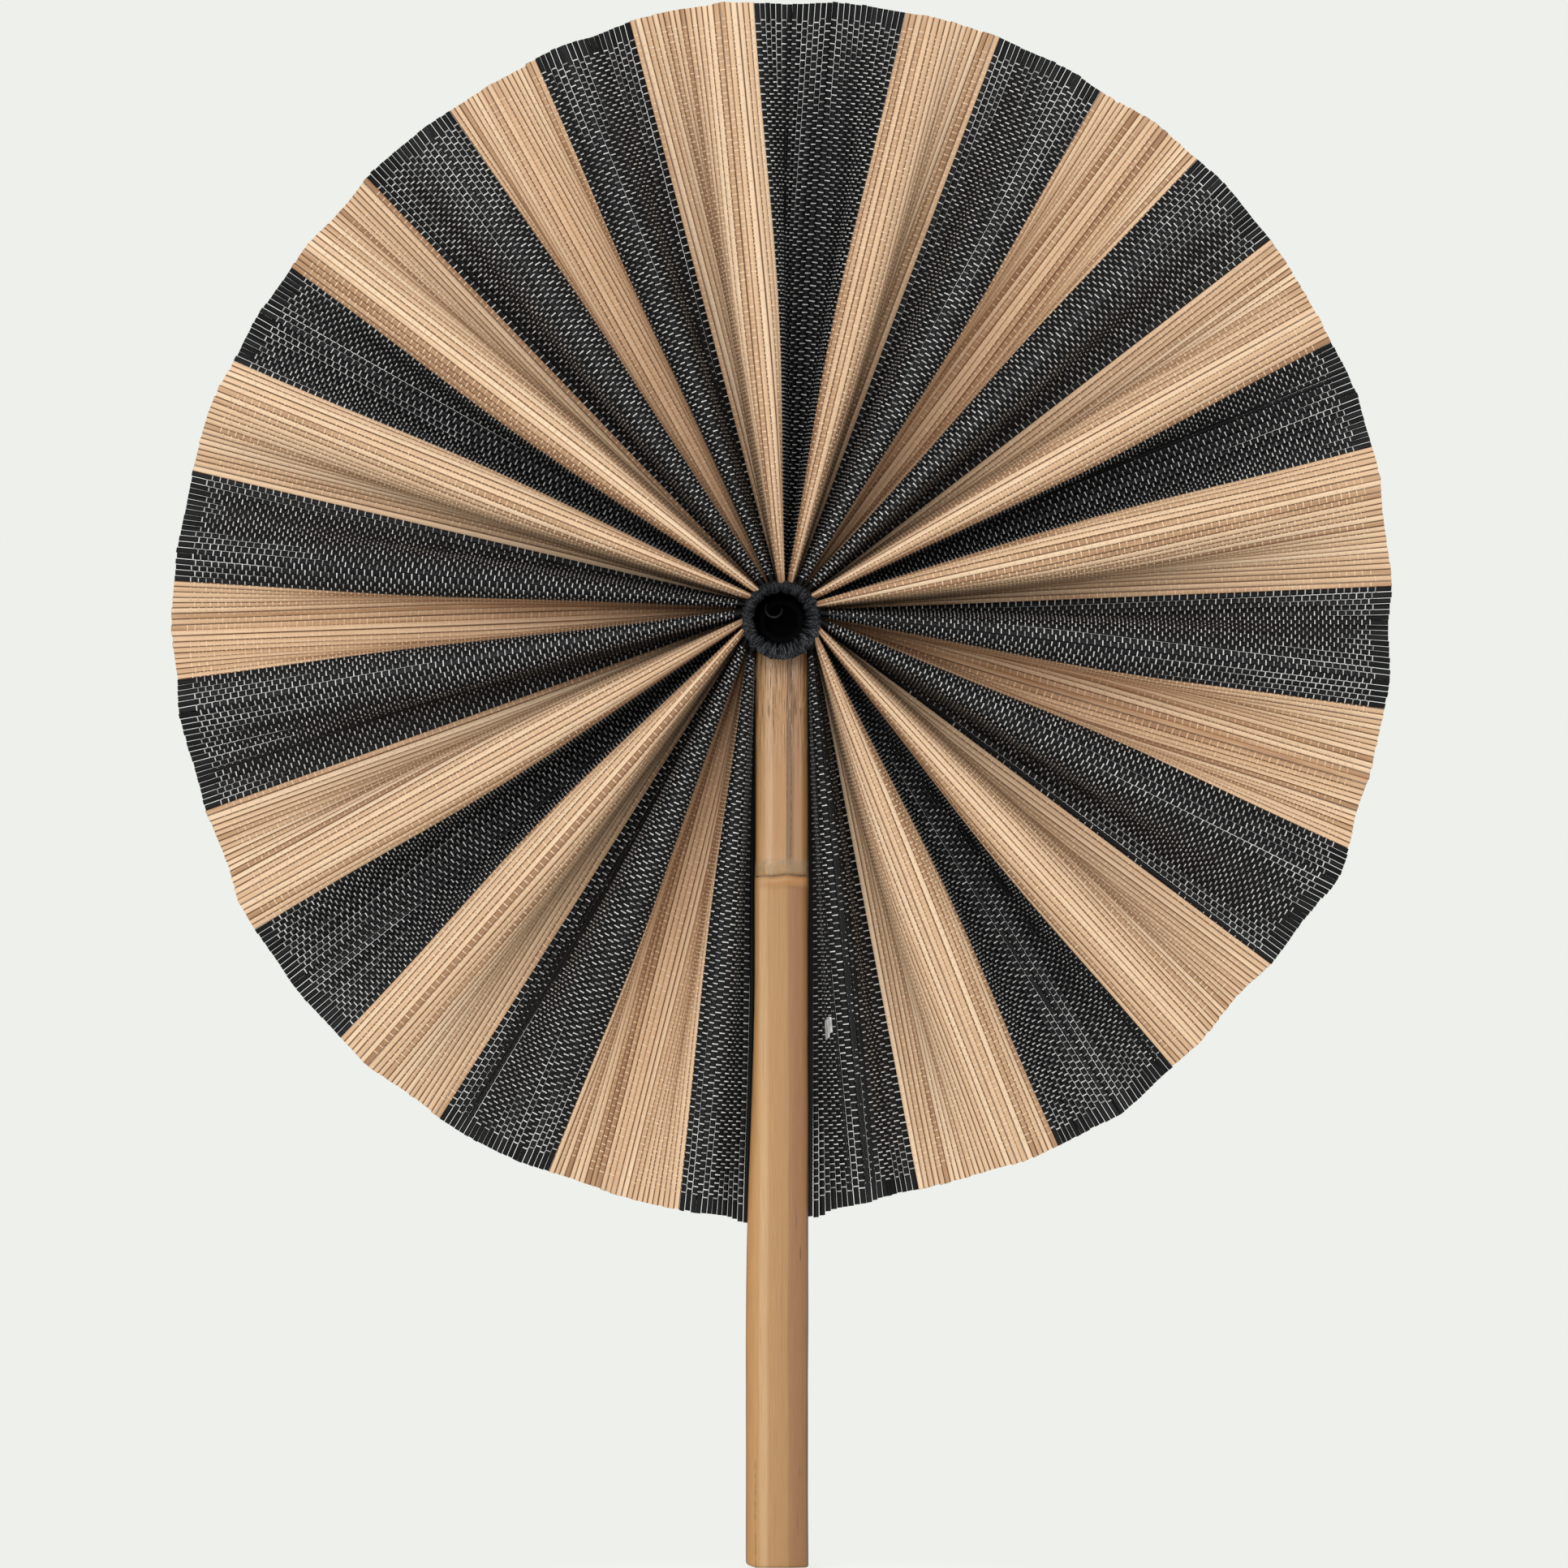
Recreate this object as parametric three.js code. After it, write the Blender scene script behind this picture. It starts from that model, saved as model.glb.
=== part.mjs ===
// A round folding hand fan, shown open: a striped mat of bamboo sticks, pleated and gathered round a hub,
// with a bamboo slat at each end of the mat. Open, the two slats lie face to face and are the handle.
// Millimetres. X runs to the right, Y away from the viewer and Z up.
// The origin is in the middle of the grip, on the plane where the two slats meet.
import * as THREE from "three";

// Overall sizes
const hubHeight = 301.5; // hub axis above the lower end of the handle
const gripHeight = 55; // middle of the grip above the lower end of the handle
const rimRadius = 194.5; // outer edge of the mat, about the rim's own centre
const rimRise = 4; // the rim's centre above the hub axis
const fitGap = 0.3; // left between pieces that touch

// Handle slats: each is half of a split bamboo, flat on the inside and round on the outside
const slatWidth = 19.8; // from the rim down to the lower end
const slatTopWidth = 17; // at the hub, where the mat closes in
const slatDepth = 6.5; // flat face to the crown of the round face
const slatEdge = 2.2; // thickness left at the long edges
const slatRoundness = 2.4; // exponent of the round face, 2 being an ellipse
const slatPoints = 12; // steps across the round face
const nodeDrop = 81; // the bamboo's node below the hub axis
const nodeLength = 7; // along the slat
const nodeSwell = 0.6; // how far the node stands out of the round face

// Mat: sticks in each stripe, from the left of the handle and over the top; black and natural in turn
const stripeSticks = [
  13, 25, 22, 23, 25, 23, 24, 18, 20, 21, 20, 21, 19, 18, 18, 22,
  27, 17, 20, 21, 19, 21, 20, 25, 22, 26, 25, 26, 26, 27, 20,
];
const stripesPerPanel = 0.75; // a fold comes every three quarters of a stripe
const lastStripeSpan = 1.5; // the last stripe counts as this many, so that it holds the last two panels
const matThickness = 0.9;
const matFullness = 1.05; // the mat's length over that of the rim: what is spare makes the pleats
const pinchPower = 2.4; // how soon the mat, pinched at the hub, opens on its way to the rim
const roofPower = 8; // how narrow the roofs are that the pinched mat makes over its folds
const wallSplay = 2.5; // how far the walls between the roofs lean apart where the mat is half pinched
const splayEnd = 1.06; // the pinch at which the walls would lean no more
const wallSway = 0.16; // how far walls stand off the middle, as a share of their room
const swayTurn = 2.4; // radians by which the sway goes on from one panel to the next
const hubSoftness = 0.7; // how round a section is at the hub, where 0 is straight and 1 is a cosine wave
const sectionSpots = [-1, -0.45, -0.1, 0.1, 0.45, 1]; // a section's points, from one fold to the next
const panelSteps = 10; // sections along a panel
const stepCrowding = 1.5; // exponent that draws the sections together by the hub
const settlingRounds = 20; // rounds in which the reach of a roof settles

// Hub: the mat's inner edge is bound with tape, and a cord gathers the binding into a ring
const bindingBore = 15.6; // diameter of the hole
const bindingWall = 4.4;
const bindingOverlap = 0.6; // how far the binding stands past the folds, front and back
const bindingRound = 1.6; // radius of its edges
const cordDiameter = 2.4;
const turnedSteps = 42; // flats round the hub pieces

const hubZ = hubHeight - gripHeight;
const bindingRadius = bindingBore / 2 + bindingWall;
const matInnerRadius = bindingRadius + fitGap;

const colours = {
  bamboo: { color: 0xb8895a, roughness: 0.5, metalness: 0 },
  naturalStick: { color: 0xcfa878, roughness: 0.65, metalness: 0 },
  blackStick: { color: 0x24262a, roughness: 0.7, metalness: 0 },
  blackTape: { color: 0x0d0e11, roughness: 0.95, metalness: 0 },
};

// Adds one closed sub-part, with its faces turned outwards.
function addPiece(group, name, geometry, look) {
  const mesh = new THREE.Mesh(outward(geometry), new THREE.MeshStandardMaterial(look));
  mesh.name = name;
  group.add(mesh);
}

// Reverses every triangle if the volume that they enclose comes out negative.
function outward(geometry) {
  const place = geometry.getAttribute("position");
  const index = geometry.getIndex();
  const corner = [new THREE.Vector3(), new THREE.Vector3(), new THREE.Vector3()];
  let volume = 0;
  for (let i = 0; i < index.count; i += 3) {
    corner.forEach((point, k) => point.fromBufferAttribute(place, index.getX(i + k)));
    volume += corner[0].dot(corner[1].cross(corner[2]));
  }
  if (volume < 0) {
    geometry.setIndex(Array.from(index.array).reverse());
  }
  geometry.computeVertexNormals();
  return geometry;
}

// A closed solid through sections that hold the same number of points. A section goes along one side
// and back along the other, so its end caps are strips between opposite points. The two sides are cut
// into triangles along the same diagonals, so a twisted plate keeps its thickness.
function solidThrough(sections) {
  const size = sections[0].length;
  const half = size / 2;
  const last = (sections.length - 1) * size;
  const index = [];
  for (let start = 0; start < last; start += size) {
    for (let i = 0; i < size; i += 1) {
      const a = start + i;
      const b = start + ((i + 1) % size);
      if (i < half) {
        index.push(a, b, b + size, a, b + size, a + size);
      } else {
        index.push(a, b, a + size, b, b + size, a + size);
      }
    }
  }
  for (let i = 0; i < half - 1; i += 1) {
    const near = [i, i + 1, size - 2 - i, size - 1 - i];
    const far = near.map((k) => last + k);
    index.push(near[0], near[2], near[1], near[0], near[3], near[2]);
    index.push(far[0], far[1], far[2], far[0], far[2], far[3]);
  }
  const points = sections.flat().flatMap((point) => point.toArray());
  const geometry = new THREE.BufferGeometry();
  geometry.setAttribute("position", new THREE.Float32BufferAttribute(points, 3));
  geometry.setIndex(index);
  return geometry;
}

// Handle slats

// Half the slat's width at a height below the hub axis: it narrows from the rim up to the hub.
function slatHalfWidth(drop) {
  const rimDrop = rimRadius - rimRise;
  const share = THREE.MathUtils.clamp((drop - matInnerRadius) / (rimDrop - matInnerRadius), 0, 1);
  return THREE.MathUtils.lerp(slatTopWidth, slatWidth, share) / 2;
}

// One section: out along the round face and back along the flat one. The top section is hollowed
// to follow the hub ring, so its height depends on the place across the slat.
function slatSection(drop, swell, isTop) {
  const round = [];
  const flat = [];
  const half = slatHalfWidth(drop);
  for (let i = 0; i <= slatPoints; i += 1) {
    const turn = (Math.PI * i) / slatPoints;
    const x = -half * Math.cos(turn);
    const crown = (1 - Math.abs(Math.cos(turn)) ** slatRoundness) ** (1 / slatRoundness);
    const y = slatEdge + (slatDepth - slatEdge) * crown + swell;
    const z = isTop ? -Math.sqrt(matInnerRadius ** 2 - x ** 2) : -drop;
    round.push(new THREE.Vector3(x, -fitGap / 2 - y, z));
    flat.unshift(new THREE.Vector3(x, -fitGap / 2, z));
  }
  return [...round, ...flat];
}

function slatGeometry() {
  const rimDrop = rimRadius - rimRise;
  return solidThrough([
    slatSection(hubHeight, 0, false),
    slatSection(rimDrop, 0, false),
    slatSection(nodeDrop + nodeLength / 2, 0, false),
    slatSection(nodeDrop, nodeSwell, false),
    slatSection(nodeDrop - nodeLength / 2, 0, false),
    slatSection(matInnerRadius, 0, true),
  ]);
}

// Mat

// A point at an angle about the hub, counted from straight down and over the left side.
function around(angle, radius) {
  return new THREE.Vector2(-Math.sin(angle) * radius, -Math.cos(angle) * radius);
}

// The rim's distance from the hub at that angle: the rim is a circle whose centre is above the hub.
function rimDistance(angle) {
  return -rimRise * Math.cos(angle) + Math.sqrt(rimRadius ** 2 - (rimRise * Math.sin(angle)) ** 2);
}

const stripeCount = stripeSticks.length;
const panelCount = Math.round((stripeCount - 1 + lastStripeSpan) / stripesPerPanel);
const stickCount = stripeSticks.reduce((sum, sticks) => sum + sticks, 0);

// Sticks before a place along the mat, where the place is counted in stripes.
function sticksBefore(place) {
  const stripe = Math.min(Math.floor(place), stripeCount - 1);
  const span = stripe === stripeCount - 1 ? lastStripeSpan : 1;
  const whole = stripeSticks.slice(0, stripe).reduce((sum, sticks) => sum + sticks, 0);
  return Math.round(whole + (stripeSticks[stripe] * (place - stripe)) / span);
}

// A fold is a straight line, seen from the front, from the hub to the rim. The folds are evenly spaced
// at the hub and spread by their sticks at the rim, and the first and last run along the slat's sides.
// Odd folds stand forward and even folds lie back.
function foldLine(number) {
  const share = sticksBefore(number * stripesPerPanel) / stickCount;
  const hubStart = Math.asin((slatTopWidth + fitGap) / 2 / matInnerRadius);
  const rimStart = Math.asin((slatWidth + fitGap) / 2 / (rimRadius - rimRise));
  const hubAngle = THREE.MathUtils.lerp(hubStart, 2 * Math.PI - hubStart, number / panelCount);
  const rimAngle = THREE.MathUtils.lerp(rimStart, 2 * Math.PI - rimStart, share);
  return { inner: around(hubAngle, matInnerRadius), outer: around(rimAngle, rimDistance(rimAngle)) };
}

// The two ends of a panel's section, seen from the front, at a share of the way from hub to rim.
function cellEnds(number, share) {
  const from = foldLine(number - 1);
  const to = foldLine(number);
  return [from.inner.lerp(from.outer, share), to.inner.lerp(to.outer, share)];
}

// How far a panel rises from its back fold to its front one. It keeps its width, which is a little more
// than its place at the rim, so it stands on edge at the hub and lies nearly flat at the rim.
function panelRise(number, share) {
  const width = (at) => cellEnds(number, at)[0].distanceTo(cellEnds(number, at)[1]);
  return Math.sqrt((matFullness * width(1)) ** 2 - width(share) ** 2);
}

// A fold's place from front to back: half the mean rise of the panels that meet there.
function foldDepth(number, share) {
  const before = panelRise(Math.max(number, 1), share);
  const after = panelRise(Math.min(number + 1, panelCount), share);
  return ((number % 2 === 1 ? -1 : 1) * (before + after)) / 4;
}

// A panel's section, as points sideways from its middle and from front to back. At the rim it is half a
// cosine wave from fold to fold. Where the mat is pinched, its ends spread into a roof over each fold with
// a steep wall between them. All of it stays inside the folds, so it clears the next panel.
function panelSection(number, share) {
  const [left, right] = cellEnds(number, share);
  const halfCell = left.distanceTo(right) / 2;
  const middleDepth = (foldDepth(number, share) + foldDepth(number - 1, share)) / 2;
  const halfRise = (foldDepth(number, share) - foldDepth(number - 1, share)) / 2;
  const pinch = (1 - share) ** pinchPower;
  const power = 1 + roofPower * pinch;
  const splay = wallSplay * pinch ** 2 * (splayEnd - pinch);
  const sway = wallSway * Math.sin(swayTurn * number) * 4 * pinch * (1 - pinch);
  const softness = THREE.MathUtils.lerp(hubSoftness, 1, share ** 2);
  const wallReach = Math.max(0, halfCell - fitGap - matThickness / 2);
  const points = sectionSpots.map((spot) => {
    const turn = Math.sign(spot) * Math.abs(spot) ** (1 / power);
    const sideways = (1 - splay) * spot + splay * turn + sway * (1 - turn ** 2);
    const rise = (1 - softness) * turn + softness * Math.sin((turn * Math.PI) / 2);
    return new THREE.Vector2(wallReach * sideways, middleDepth + halfRise * rise);
  });
  const last = points.length - 1;
  const limit = halfCell - fitGap / 2;
  points[0].x = -roofReach(-points[1].x, points[1].y - points[0].y, limit);
  points[last].x = roofReach(points[last - 1].x, points[last].y - points[last - 1].y, limit);
  return points;
}

// How far sideways a roof ends that starts at its eave, so that its thickness too stays inside a limit.
// Each round tilts the roof by the reach of the round before.
function roofReach(eave, rise, limit) {
  let reach = limit - matThickness / 2;
  for (let round = 0; round < settlingRounds; round += 1) {
    reach = limit - ((matThickness / 2) * Math.abs(rise)) / Math.hypot(reach - eave, rise);
  }
  return reach;
}

// The outline of a plate along a section's points: out along one face and back along the other.
function plateOutline(points) {
  const normals = points.slice(1).map((point, i) => {
    const along = point.clone().sub(points[i]).normalize();
    return new THREE.Vector2(-along.y, along.x);
  });
  const offsets = points.map((_, i) => {
    const before = normals[Math.max(i - 1, 0)];
    const after = normals[Math.min(i, normals.length - 1)];
    const mean = before.clone().add(after).normalize();
    return mean.multiplyScalar(matThickness / 2 / mean.dot(after));
  });
  const near = points.map((point, i) => point.clone().sub(offsets[i]));
  const far = points.map((point, i) => point.clone().add(offsets[i]));
  return [...near, ...far.reverse()];
}

// A panel is a plate between two folds that twists and opens on its way to the rim.
function panelGeometry(number) {
  const sections = [];
  for (let k = 0; k <= panelSteps; k += 1) {
    const share = (k / panelSteps) ** stepCrowding;
    const [left, right] = cellEnds(number, share);
    const middle = left.clone().add(right).multiplyScalar(0.5);
    const across = right.clone().sub(left).normalize();
    sections.push(plateOutline(panelSection(number, share)).map(({ x, y }) => (
      new THREE.Vector3(middle.x + across.x * x, y, middle.y + across.y * x)
    )));
  }
  return solidThrough(sections);
}

// A panel takes the colour of the stripe that its middle lies in.
function panelLook(number) {
  const stripe = Math.min(Math.floor((number - 0.5) * stripesPerPanel), stripeCount - 1);
  return stripe % 2 === 0 ? colours.blackStick : colours.naturalStick;
}

// Hub

// A ring turned about the hub axis from a closed outline of (radius, depth) points.
function turnedRing(outline) {
  return new THREE.LatheGeometry([...outline, outline[0].clone()], turnedSteps);
}

function bindingGeometry() {
  const folds = Array.from({ length: panelCount + 1 }, (_, number) => Math.abs(foldDepth(number, 0)));
  const depth = Math.max(...folds) + bindingOverlap;
  const bore = bindingBore / 2;
  const outline = new THREE.Path();
  outline.moveTo(bore, -depth + bindingRound);
  outline.quadraticCurveTo(bore, -depth, bore + bindingRound, -depth);
  outline.lineTo(bindingRadius - bindingRound, -depth);
  outline.quadraticCurveTo(bindingRadius, -depth, bindingRadius, -depth + bindingRound);
  outline.lineTo(bindingRadius, depth - bindingRound);
  outline.quadraticCurveTo(bindingRadius, depth, bindingRadius - bindingRound, depth);
  outline.lineTo(bore + bindingRound, depth);
  outline.quadraticCurveTo(bore, depth, bore, depth - bindingRound);
  return turnedRing(outline.getPoints(3));
}

function cordGeometry() {
  const middle = bindingBore / 2 - fitGap - cordDiameter / 2;
  const outline = new THREE.Path();
  outline.absarc(middle, 0, cordDiameter / 2, 0, 2 * Math.PI);
  return turnedRing(outline.getPoints(8).slice(0, -1));
}

// Assembly
const handFan = new THREE.Group();
handFan.position.z = hubZ;
handFan.name = "hand_fan";

addPiece(handFan, "front_slat", slatGeometry(), colours.bamboo);
addPiece(handFan, "back_slat", slatGeometry().rotateZ(Math.PI), colours.bamboo);
for (let number = 1; number <= panelCount; number += 1) {
  const name = `pleat_${String(number).padStart(2, "0")}`;
  addPiece(handFan, name, panelGeometry(number), panelLook(number));
}
addPiece(handFan, "hub_binding", bindingGeometry(), colours.blackTape);
addPiece(handFan, "gathering_cord", cordGeometry(), colours.blackTape);

export default handFan;
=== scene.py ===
"""A round folding hand fan, dressed: a striped mat of bamboo sticks woven with thread, pleated and
gathered round a hub, with half of a split bamboo at each end of the mat as its handle."""

import math
from dataclasses import dataclass

import bpy
import numpy as np
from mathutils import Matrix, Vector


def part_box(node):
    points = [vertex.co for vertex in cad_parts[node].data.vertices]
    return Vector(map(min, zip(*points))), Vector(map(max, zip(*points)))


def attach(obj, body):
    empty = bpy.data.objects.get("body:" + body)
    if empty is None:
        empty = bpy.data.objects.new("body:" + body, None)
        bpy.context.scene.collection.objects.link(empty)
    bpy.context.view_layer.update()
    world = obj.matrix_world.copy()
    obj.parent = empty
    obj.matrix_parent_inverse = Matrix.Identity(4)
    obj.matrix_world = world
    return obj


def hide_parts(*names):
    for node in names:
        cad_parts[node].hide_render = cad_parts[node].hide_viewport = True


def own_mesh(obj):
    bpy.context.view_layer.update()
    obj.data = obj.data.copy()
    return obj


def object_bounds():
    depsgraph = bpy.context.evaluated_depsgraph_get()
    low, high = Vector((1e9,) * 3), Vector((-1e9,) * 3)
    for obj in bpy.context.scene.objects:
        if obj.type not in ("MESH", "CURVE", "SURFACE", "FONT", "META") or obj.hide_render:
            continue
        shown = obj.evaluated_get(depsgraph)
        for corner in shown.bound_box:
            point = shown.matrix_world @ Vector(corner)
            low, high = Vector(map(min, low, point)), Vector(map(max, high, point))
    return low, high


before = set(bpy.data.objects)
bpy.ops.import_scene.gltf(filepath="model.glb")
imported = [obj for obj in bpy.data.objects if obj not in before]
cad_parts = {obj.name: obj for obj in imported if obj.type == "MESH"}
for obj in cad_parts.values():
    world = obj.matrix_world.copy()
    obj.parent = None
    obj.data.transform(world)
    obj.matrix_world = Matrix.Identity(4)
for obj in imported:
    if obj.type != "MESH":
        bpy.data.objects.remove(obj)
cad_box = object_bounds()
random = np.random.default_rng(42)

# Sizes are in millimetres about the hub's axis: X to the right, Y away from the viewer and Z up.
MM = 0.001
hub_low, hub_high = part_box("hub_binding")
hub_middle = (hub_low + hub_high) / 2
HUB = np.array(hub_middle)
handle_drop = (HUB[2] - cad_box[0].z) / MM

# Mat: its rim, the sticks in each stripe from the left of the handle, and its panels between folds
rim_radius = 194.5
rim_rise = 4.0
rim_drop = rim_radius - rim_rise
fit_gap = 0.3
stripe_sticks = np.array([
    13, 25, 22, 23, 25, 23, 24, 18, 20, 21, 20, 21, 19, 18, 18, 22,
    27, 17, 20, 21, 19, 21, 20, 25, 22, 26, 25, 26, 26, 27, 20,
])
stick_total = stripe_sticks.sum()
stripes_per_panel = 0.75
last_stripe_span = 1.5
panel_count = 42
mat_fullness = 1.05

# A panel's section: a roof over each fold and a wall between them
pinch_power = 2.4
roof_power = 8
wall_splay = 2.5
splay_end = 1.06
fold_sway = 0.16
sway_turn = 2.4
hub_softness = 0.7
fold_inset = 0.85
fold_overlap = 0.1
slat_overlap = 0.5
section_steps = 96

# The rim isn't a true circle. Each bulge is its angle and its spread in degrees, and its height, and
# each wave is its count round the rim, its phase and its height.
rim_bulges = [
    (3.4, 1.2, 1.2),
    (50, 18, 2.4),
    (135, 27, -4.0),
    (235, 35, 1.1),
    (293, 5, 2.8),
    (311, 7, -3.6),
    (345, 14, -3.7),
    (356.6, 1.0, 1.6),
]
rim_waves = [
    (13, 1.0, 0.4),
    (23, 2.2, 0.32),
    (37, 0.0, 0.2),
]

# Sticks: their form, the lengths by which black ones stand apart at the rim, and how they vary
stick_half_depth = 0.38
stick_fill = 0.965
rim_fill = 0.875
stick_outline = np.array([
    (1, 0.35), (0.62, 1), (-0.62, 1), (-1, 0.35), (-1, -0.35), (-0.62, -1), (0.62, -1), (1, -0.35),
])
stick_places = np.array([0, 0.003, 0.1, 0.2, 0.3, 0.4, 0.5, 0.6, 0.7, 0.8, 0.86, 0.91, 0.95, 0.98, 0.997, 1])
stick_openings = [12, 20, 32, 55, 90]
opening_run = 8
edge_jitter = 0.06
hub_end_range = (-0.8, 0.3)
rim_jitter = 0.1
roll_jitter = 0.05
level_jitter = 0.05
tone_middle = 0.56
tone_spread = 0.26
tone_least = 0.15
dark_share = 0.1
dark_tone = 0.2
# Painted shade: sticks and stitches on a fold's steep walls get a darker tone, by a share that rises between
# these tilts
painted_wall_shade = 0.4
wall_tilts = (0.3, 0.85)
grain_step = 7.7

# Threads: rows of stitches, each a block that narrows from its base to its top
thread_rows_start = 3.2
thread_row_pitch = 1.25
thread_rows_end = 4.8
thread_rows_margin = 4.0
thread_half_width = 0.25
thread_height = 0.11
thread_jitter = 0.06
stitch_base_level = 0.02
stitch_base_reach = 1.02
stitch_top_reach = 0.64
stitch_top_width = 0.6
square_outline = np.array([(1, 1), (-1, 1), (-1, -1), (1, -1)])

# A worn patch on the mat's last panel: sticks counted from its end, and stretches along them
worn_stretches = [
    (5, 117.5, 125.6),
    (6, 117.2, 124.8),
    (7, 117.0, 123.2),
]
worn_steps = 10
worn_height = 0.52
worn_taper = 0.5
worn_taper_power = 6
worn_tone = 0.6
worn_mottle = 0.25
worn_mottle_turn = 9

# Closed fan: the pitch of the panels side by side, and the share of it that each fills
closed_pitch = 1.35
closed_fill = 0.96

# A panel's finishes by number, natural and then black
stick_finishes = (0, 1)
thread_finishes = (2, 3)

# A piece's flat map: where a tube's length and its two ends lie across it, and bands from its foot to its top
chart_length = (0.02, 0.98)
end_patches = [(0.002, 0.014), (0.986, 0.998)]
whole_band = (0.02, 0.98)
stick_band = 0.9
stick_band_gap = 0.05
thread_band = (0.925, 0.985)
tape_band = (0.01, 0.6)
fibre_band = (0.92, 0.98)
cord_band = (0.02, 0.47)
curl_band = (0.52, 0.97)
tone_steps = 16
sharp_angle = math.radians(60)

# Hub ring: its section has a round shoulder outside its crest and a long funnel inside it
binding_radius = 12.2
mat_inner_radius = binding_radius + fit_gap
binding_half_depth = (hub_high.y - hub_low.y) / 2 / MM
panels_per_tape = 3
tape_crest = 10.9
tape_shoulder = 1.8
tape_funnel = 8.0
tape_bore = 8.0
tape_collar = 13.3
collar_half_depth = 11.0
tape_step = 1.2
cap_steps = 32

# Gathers of the tape: each wave is its counts round the hub and round the section, its phase and its height
gather_waves = [
    (21, 0, 0.4 + math.pi / 2, 0.26),
    (13, 2, 0.0, 0.2),
    (47, 3, 1.0, 0.14),
    (83, -2, 0.0, 0.08),
]
gather_level = -0.1
lip_height = 1.3
lip_angle = math.radians(32)

# Loose fibres on the tape, whose tones are scaled up towards the bottom of the ring as painted light
fibres_per_degree = 4
fibre_steps = 6
fibre_starts = (-0.3, 2.1)
fibre_runs = (0.4, 1.0)
fibre_drift = 0.05
fibre_wander = 0.01
fibre_lift = 0.05
fibre_arch = 0.35
fibre_arch_turn = 0.8 * np.pi
fibre_ends = (0.06, 0.94)
fibre_thickness = (0.024, 0.052)
fibre_painted_light = (0.7, 1.5)

# The cloth that closes the hole
bottom_margin = 2.2
bottom_depth = 8.0
bottom_dish = 3.0
bottom_rings = 10
bottom_middle = 0.03
bottom_crumples = 21
bottom_crumple = 0.5
crumple_steps = 8
crumple_turn = 5
bottom_half_thickness = 0.4

# The cord inside the ring, and its curled end in the hole
cord_ring_radius = 6.3
cord_radius = 1.2
cord_start = 0.6
cord_ring_steps = 90
cord_tone = 0.0
curl_turns = (math.radians(150), math.radians(365))
curl_radii = (2.9, 2.4)
curl_x = -2.3
curl_z = 3.9
curl_depth = -7
curl_bow = 5
curl_steps = 40
curl_thickness = 0.36
curl_tone = 0.4
cord_sides = 12
ply_height = 0.12
ply_twist = 0.55

# Handle slats
slat_width = 19.8
slat_top_width = 17.0
slat_flare = (slat_width - slat_top_width) / 2
flare_start = 110.0
flare_end = 215.0
slat_depth = 6.5
slat_edge = 2.2
slat_least = 0.3
slat_seam = 0.02
slat_roundness = 2.4
slat_steps = 48
slat_top_reach = 0.7
hollow_reach = 8.2
hollow_fade = 18.0
flute_count = 9
flute_drift = 0.01
flute_height = 0.05
fine_flute_count = 17
fine_flute_phase = 1
fine_flute_height = 0.03
edge_relief = 0.35
relief_slope = 3
end_round = 0.8
end_wear = 0.7
chip_width = 3.2
chip_height = 0.95
chip_run = 8
slat_grain_step = 3.7

# A slat's sections: their numbers above, at and below its node, and the last ones' heights above its end
upper_sections = 28
node_sections = 61
lower_sections = 70
section_gap = 0.5
lower_margin = 1.2
end_heights = np.array([0.8, 0.5, 0.25, 0.1, 0.0])

# The culm's node: each swelling is its drop below the node, its spread and its height
node_drop = 81.0
node_reach = 9.0
node_swells = [
    (-2.5, 3.5, 0.35),
    (0.0, 0.45, -0.55),
    (1.9, 1.5, 0.75),
]
node_waves = [
    (2.6, 0.8, 0.3),
    (7.0, 0.0, 0.12),
]

# Photograph: the frame is half a metre wide at the fan, seen straight from the front
frame_width = 0.5
camera_distance = 6.0
camera_x = 0.0008
camera_z = 0.1947
sensor_width = 36.0
camera_reach = 100

# Studio, in metres. Each lamp is its name, its place, its size and its power.
backdrop = (0.855, 0.871, 0.831, 1)
ambient_strength = 0.92
lamps = [
    ("key_lamp", (-0.35, -2.2, 0.95), 1.1, 27),
    ("fill_lamp", (0.9, -2.1, 0.35), 1.6, 3),
    ("back_lamp", (0.5, 1.9, 1.1), 1.6, 8),
]
floor_radius = 0.5
floor_sides = 96
floor_gap = 0.0006
floor_colour = (0.86, 0.87, 0.84, 1)
floor_fade = (0.055, 0.1)
floor_glow = 0.6


def lerp(start, end, share):
    """The value that lies a share of the way from start to end."""
    return start + (end - start) * share


def unit(vectors):
    """Vectors divided by their own lengths."""
    return vectors / np.linalg.norm(vectors, axis=-1, keepdims=True)


def smooth_step(low, high, value):
    """Rises from 0 at low to 1 at high as an S: three times the share's square less twice its cube."""
    share = np.clip((value - low) / (high - low), 0, 1)
    return share * share * (3 - 2 * share)


def bells(value, curves):
    """A sum of bell curves, each given as its place, its spread and its height."""
    place, spread, height = np.array(curves).T
    return (height * np.exp(-(((value[..., None] - place) / spread) ** 2))).sum(axis=-1)


def waves(value, curves):
    """A sum of sine waves, each given as its turn for each unit, its phase and its height."""
    turn, phase, height = np.array(curves).T
    return (height * np.sin(turn * value[..., None] + phase)).sum(axis=-1)


# Closed surfaces


@dataclass
class Shape:
    """Closed surfaces of one finish.

    Points are in millimetres about the hub, faces have four corners, and chart is each corner's place
    on the piece's flat map. Tone and grain are what the finish reads at each point.
    """

    points: np.ndarray
    faces: np.ndarray
    chart: np.ndarray
    tone: np.ndarray
    grain: np.ndarray
    finish: int = 0


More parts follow.
